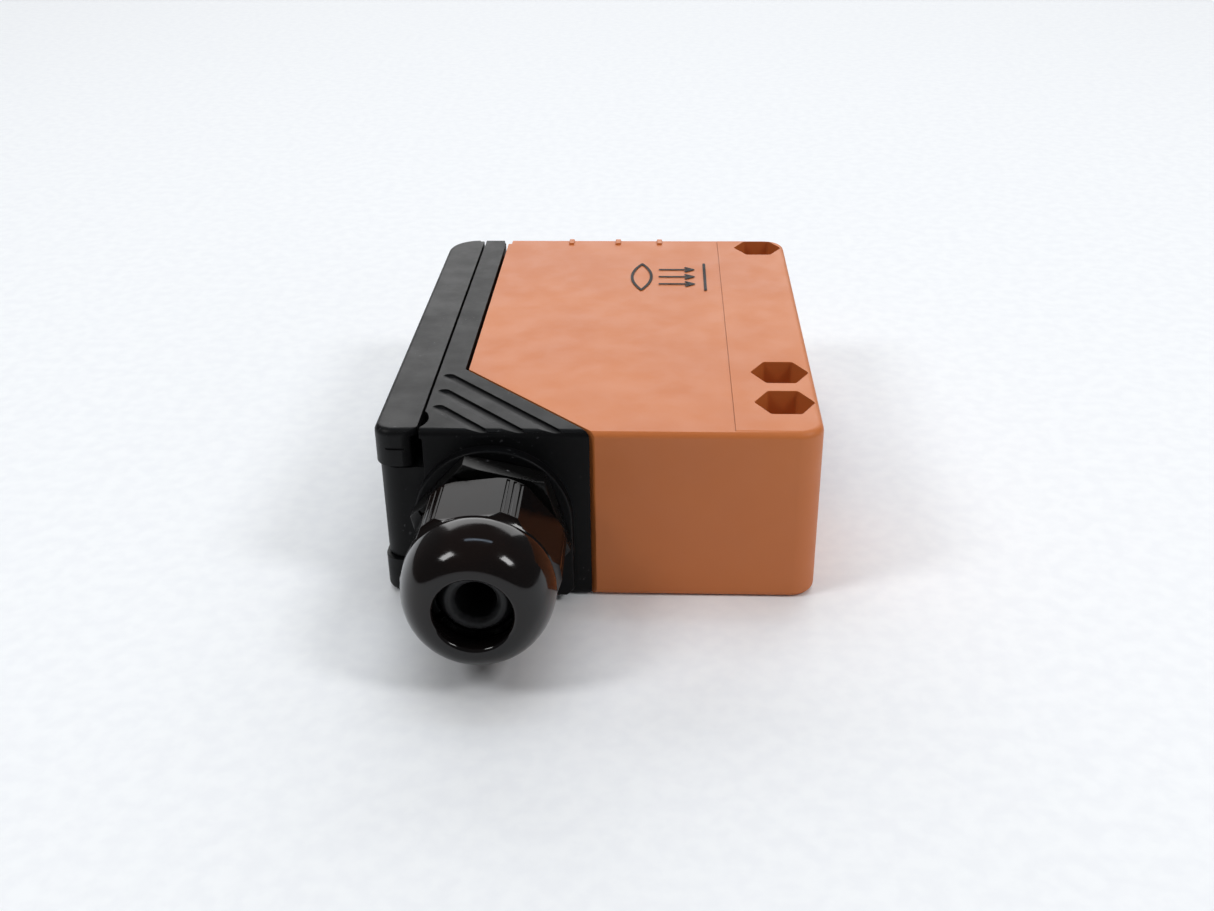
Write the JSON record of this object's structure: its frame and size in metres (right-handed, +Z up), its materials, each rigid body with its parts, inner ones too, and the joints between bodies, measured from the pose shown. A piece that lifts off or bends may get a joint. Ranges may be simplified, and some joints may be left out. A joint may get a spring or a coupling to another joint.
{
  "type": "photoelectric sensor",
  "caption": "Flat block-shaped photoelectric sensor with a hinged terminal cover, screw terminals, a cable gland, nut-pocket fixing bores and a window for its two lenses.",
  "frame": {"origin": "middle of the whole object's base, on the surface that the sensor lies on", "axes": "+X towards the optical front, +Y away from the cable gland along the body, +Z up out of the face with the nut pockets"},
  "size_m": [0.07, 0.118, 0.03],
  "materials": {
    "orange_housing": "fine spark-eroded matte moulding",
    "black_housing": "fine matte moulding",
    "black_cover": "fine matte moulding",
    "stainless_pin": "drawn",
    "seal_rubber": "moulded, dull",
    "insert_rubber": "moulded, dull",
    "nickel_steel": "nickel plated",
    "zinc_steel": "zinc plated",
    "black_polyamide": "moulded",
    "gland_polyamide": "satin moulding",
    "natural_polyamide": "moulded, undyed",
    "gland_nut_gloss": "polished mould, glossy",
    "grey_terminal_plastic": "moulded",
    "brass_clamp": "nickel-flashed brass",
    "tinned_pins": "tinned",
    "blue_trimmer_plastic": "moulded",
    "white_rotor_plastic": "moulded",
    "switch_plastic": "moulded",
    "circuit_laminate": "solder mask",
    "relay_case": "moulded",
    "capacitor_sleeve": "shrunk sleeve",
    "transformer_core": "varnished laminations",
    "amber_epoxy": "diffused epoxy",
    "green_epoxy": "diffused epoxy",
    "clear_window": "clear polycarbonate",
    "carrier_plastic": "matte moulding",
    "clear_lens": "polished acrylic",
    "clear_epoxy": "clear epoxy",
    "filter_epoxy": "dark infrared filter epoxy",
    "red_window": "dyed acrylic, polished"
  },
  "bodies": {
    "housing": {"main_housing": "orange_housing", "connection_housing": "black_housing", "hinge_pin": "stainless_pin", "gland_body": "gland_polyamide", "gland_o_ring": "seal_rubber", "clamping_claw": "gland_polyamide", "gland_seal": "insert_rubber", "terminal_block": "grey_terminal_plastic", "pin_strip": "tinned_pins", "potentiometer_case": "blue_trimmer_plastic", "mode_switch_case": "switch_plastic", "chamber_screw_1": "zinc_steel", "chamber_screw_2": "zinc_steel", "chamber_screw_3": "zinc_steel", "chamber_screw_4": "zinc_steel", "chamber_gasket": "seal_rubber", "main_board": "circuit_laminate", "relay": "relay_case", "smoothing_capacitor": "capacitor_sleeve", "power_transformer": "transformer_core", "indicator_led_output": "amber_epoxy", "indicator_led_power": "green_epoxy", "indicator_window": "clear_window", "optics_carrier": "carrier_plastic", "emitter_lens": "clear_lens", "receiver_lens": "clear_lens", "emitter_diode": "clear_epoxy", "receiver_diode": "filter_epoxy", "front_window": "red_window", "front_seal": "seal_rubber"},
    "cover": {"terminal_cover": "black_cover", "cover_gasket": "seal_rubber"},
    "cover_fastener": {"cover_screw": "nickel_steel", "cover_screw_ring": "black_polyamide"},
    "gland_thrust": {"thrust_ring": "natural_polyamide"},
    "gland_nut": {"gland_cap_nut": "gland_nut_gloss"},
    "sensitivity_dial": {"potentiometer_rotor": "white_rotor_plastic"},
    "mode_slider": {"mode_switch_slider": "white_rotor_plastic"},
    "terminal_screw_1_body": {"terminal_screw_1": "zinc_steel"},
    "terminal_clamp_1_body": {"terminal_clamp_1": "brass_clamp"},
    "terminal_screw_2_body": {"terminal_screw_2": "zinc_steel"},
    "terminal_clamp_2_body": {"terminal_clamp_2": "brass_clamp"},
    "terminal_screw_3_body": {"terminal_screw_3": "zinc_steel"},
    "terminal_clamp_3_body": {"terminal_clamp_3": "brass_clamp"},
    "terminal_screw_4_body": {"terminal_screw_4": "zinc_steel"},
    "terminal_clamp_4_body": {"terminal_clamp_4": "brass_clamp"},
    "terminal_screw_5_body": {"terminal_screw_5": "zinc_steel"},
    "terminal_clamp_5_body": {"terminal_clamp_5": "brass_clamp"}
  },
  "joints": [
    {"name": "cover_hinge", "type": "hinge", "parent": "housing", "child": "cover", "pos_m": [-0.0311, -0.027, 0.015], "axis": [0, 0, 1], "range_deg": [0, 115]},
    {"name": "cover_screw_turn", "type": "hinge", "parent": "cover", "child": "cover_fastener", "pos_m": [-0.033, 0.052, 0.015], "axis": [-1, 0, 0], "range_deg": [0, 2880]},
    {"name": "gland_travel", "type": "slide", "parent": "housing", "child": "gland_thrust", "axis": [0, -1, 0], "range_m": [0, 0.00451]},
    {"name": "gland_turn", "type": "hinge", "parent": "gland_thrust", "child": "gland_nut", "pos_m": [-0.0165, -0.046, 0.015], "axis": [0, -1, 0], "range_deg": [0, 1080]},
    {"name": "sensitivity_turn", "type": "hinge", "parent": "housing", "child": "sensitivity_dial", "pos_m": [-0.0125, 0.0343, 0.015], "axis": [1, 0, 0], "range_deg": [0, 270]},
    {"name": "mode_slide", "type": "slide", "parent": "housing", "child": "mode_slider", "axis": [0, 0, 1], "range_m": [0, 0.002]},
    {"name": "terminal_1_turn", "type": "hinge", "parent": "housing", "child": "terminal_screw_1_body", "pos_m": [-0.017, -0.003, 0.0122], "axis": [1, 0, 0], "range_deg": [0, 900]},
    {"name": "terminal_1_lift", "type": "slide", "parent": "housing", "child": "terminal_clamp_1_body", "axis": [-1, 0, 0], "range_m": [0, 0.00125]},
    {"name": "terminal_2_turn", "type": "hinge", "parent": "housing", "child": "terminal_screw_2_body", "pos_m": [-0.017, 0.004, 0.0122], "axis": [1, 0, 0], "range_deg": [0, 900]},
    {"name": "terminal_2_lift", "type": "slide", "parent": "housing", "child": "terminal_clamp_2_body", "axis": [-1, 0, 0], "range_m": [0, 0.00125]},
    {"name": "terminal_3_turn", "type": "hinge", "parent": "housing", "child": "terminal_screw_3_body", "pos_m": [-0.017, 0.011, 0.0122], "axis": [1, 0, 0], "range_deg": [0, 900]},
    {"name": "terminal_3_lift", "type": "slide", "parent": "housing", "child": "terminal_clamp_3_body", "axis": [-1, 0, 0], "range_m": [0, 0.00125]},
    {"name": "terminal_4_turn", "type": "hinge", "parent": "housing", "child": "terminal_screw_4_body", "pos_m": [-0.017, 0.018, 0.0122], "axis": [1, 0, 0], "range_deg": [0, 900]},
    {"name": "terminal_4_lift", "type": "slide", "parent": "housing", "child": "terminal_clamp_4_body", "axis": [-1, 0, 0], "range_m": [0, 0.00125]},
    {"name": "terminal_5_turn", "type": "hinge", "parent": "housing", "child": "terminal_screw_5_body", "pos_m": [-0.017, 0.025, 0.0122], "axis": [1, 0, 0], "range_deg": [0, 900]},
    {"name": "terminal_5_lift", "type": "slide", "parent": "housing", "child": "terminal_clamp_5_body", "axis": [-1, 0, 0], "range_m": [0, 0.00125]}
  ],
  "couplings": [
    {"joint": "gland_travel", "follows": "gland_turn", "m_per_rad": 0.00023873},
    {"joint": "terminal_1_turn", "follows": "terminal_1_lift", "rad_per_m": 12566},
    {"joint": "terminal_2_turn", "follows": "terminal_2_lift", "rad_per_m": 12566},
    {"joint": "terminal_3_turn", "follows": "terminal_3_lift", "rad_per_m": 12566},
    {"joint": "terminal_4_turn", "follows": "terminal_4_lift", "rad_per_m": 12566},
    {"joint": "terminal_5_turn", "follows": "terminal_5_lift", "rad_per_m": 12566}
  ]
}
